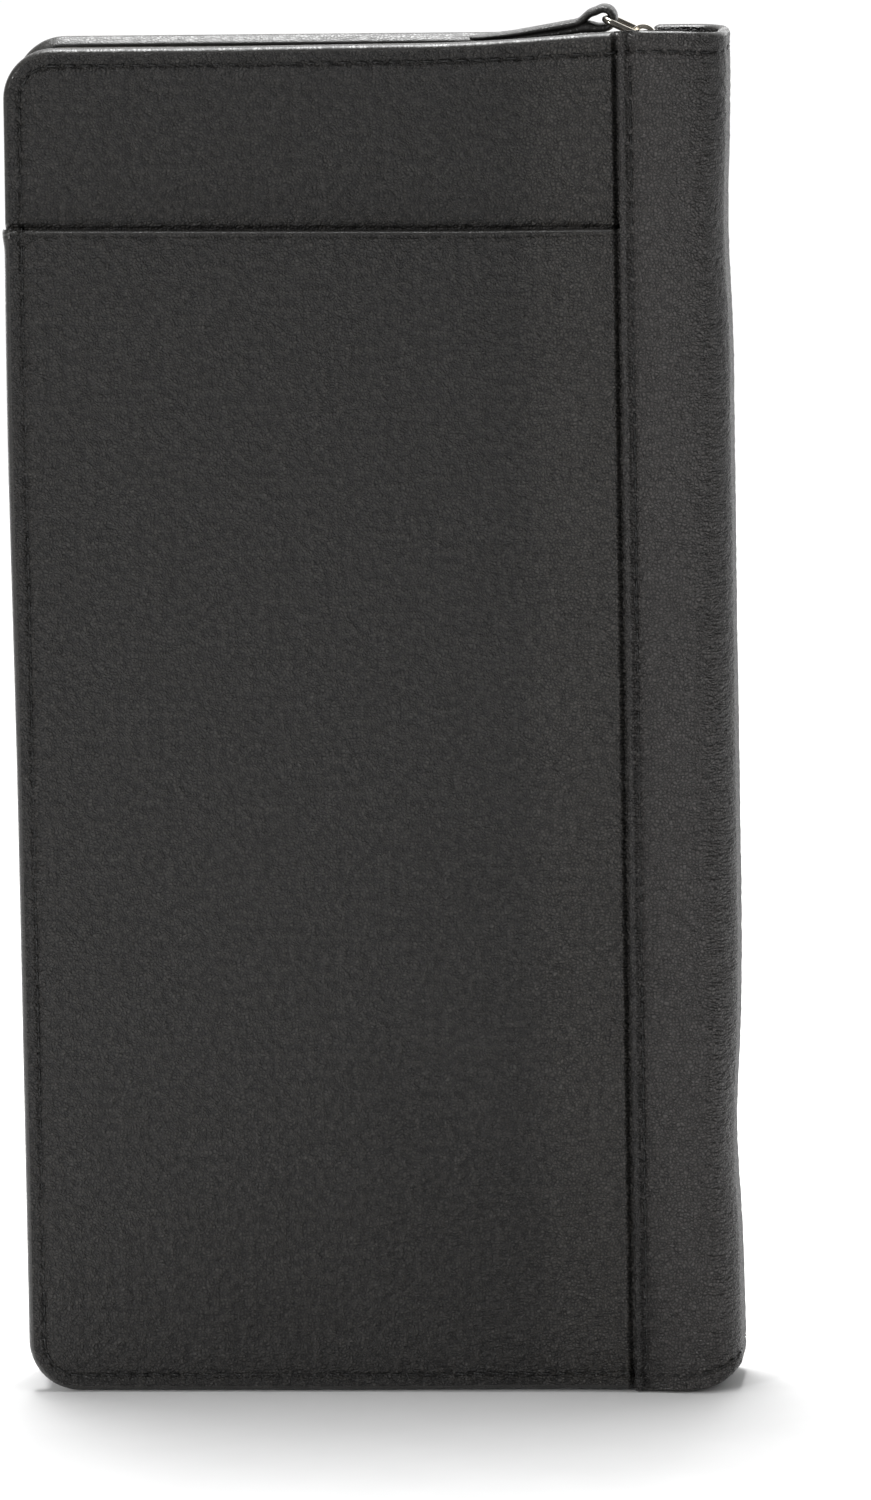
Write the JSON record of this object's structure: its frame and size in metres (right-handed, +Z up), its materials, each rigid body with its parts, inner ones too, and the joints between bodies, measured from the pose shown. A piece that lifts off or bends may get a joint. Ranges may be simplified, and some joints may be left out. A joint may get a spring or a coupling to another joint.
{
  "type": "travel document organizer",
  "caption": "Zip-round leather case with boarded covers, a leather spine, an outside slip pocket, inside pockets and a leather pull on its slider.",
  "frame": {"origin": "middle of the foot print, on the surface that the case stands on", "axes": "+Z up along the height, +X from the open edge to the spine, +Y from the slip pocket's face to the other face"},
  "size_m": [0.1274, 0.025, 0.2458],
  "materials": {
    "black_leather": "fine pebbled grain, low sheen",
    "pocket_leather": "smooth, low sheen",
    "lining_cloth": "plain weave",
    "board": "grey board",
    "zipper_tape": "woven, matt",
    "zipper_coil": "moulded nylon",
    "nickel": "polished nickel plate",
    "clear_window": "clear film",
    "elastic": "knitted, matt",
    "thread": "twisted polyester"
  },
  "bodies": {
    "back_cover": {"back_cover_leather": "black_leather", "back_board": "board", "back_lining": "lining_cloth", "spine_back_flap": "black_leather", "back_zipper_tape": "zipper_tape", "back_zipper_coil": "zipper_coil", "back_end_stops": "nickel", "document_pocket": "pocket_leather", "card_pocket_upper": "pocket_leather", "card_pocket_middle": "pocket_leather", "card_pocket_lower": "pocket_leather", "id_window_frame": "pocket_leather", "id_window": "clear_window"},
    "spine": {"spine_leather": "black_leather", "spine_board": "board", "spine_lining": "lining_cloth", "spine_end_tabs": "black_leather", "pen_loop": "elastic"},
    "front_cover": {"front_cover_leather": "black_leather", "front_slip_pocket": "black_leather", "front_board": "board", "front_lining": "lining_cloth", "spine_front_flap": "black_leather", "front_zipper_tape": "zipper_tape", "front_zipper_coil": "zipper_coil", "front_end_stops": "nickel", "inner_zip_panel": "pocket_leather", "inner_zip_tapes": "zipper_tape", "inner_zip_coils": "zipper_coil", "inner_zip_stops": "nickel", "boarding_pass_pocket": "pocket_leather", "passport_pocket": "pocket_leather"},
    "zip_slider": {"slider": "nickel"},
    "zip_ring": {"pull_ring": "nickel"},
    "zip_strap": {"pull_strap": "black_leather"},
    "inner_slider": {"inner_zip_slider": "nickel"},
    "inner_puller": {"inner_zip_puller": "nickel"}
  },
  "joints": [
    {"name": "spine_hinge", "type": "hinge", "parent": "back_cover", "child": "spine", "pos_m": [0.06199, 0.01074, 0.12], "axis": [0, 0, 1], "range_deg": [0, 90]},
    {"name": "cover_hinge", "type": "hinge", "parent": "spine", "child": "front_cover", "pos_m": [0.06199, -0.01074, 0.12], "axis": [0, 0, 1], "range_deg": [0, 90]},
    {"name": "zip_slide", "type": "slide", "parent": "back_cover", "child": "zip_slider", "axis": [-1, 0, 0], "range_m": [0, 0.095]},
    {"name": "ring_hinge", "type": "hinge", "parent": "zip_slider", "child": "zip_ring", "pos_m": [0.048, 0, 0.2405], "axis": [0, 1, 0], "range_deg": [0, 115]},
    {"name": "strap_hinge", "type": "hinge", "parent": "zip_ring", "child": "zip_strap", "pos_m": [0.04193, 0, 0.24333], "axis": [0, 1, 0], "range_deg": [0, 30]},
    {"name": "inner_slide", "type": "slide", "parent": "front_cover", "child": "inner_slider", "axis": [0, 0, 1], "range_m": [0, 0.17]},
    {"name": "puller_hinge", "type": "hinge", "parent": "inner_slider", "child": "inner_puller", "pos_m": [-0.046, -0.0051, 0.0312], "axis": [1, 0, 0], "range_deg": [0, 150]}
  ],
  "couplings": [
    {"joint": "cover_hinge", "follows": "spine_hinge", "ratio": 1}
  ]
}
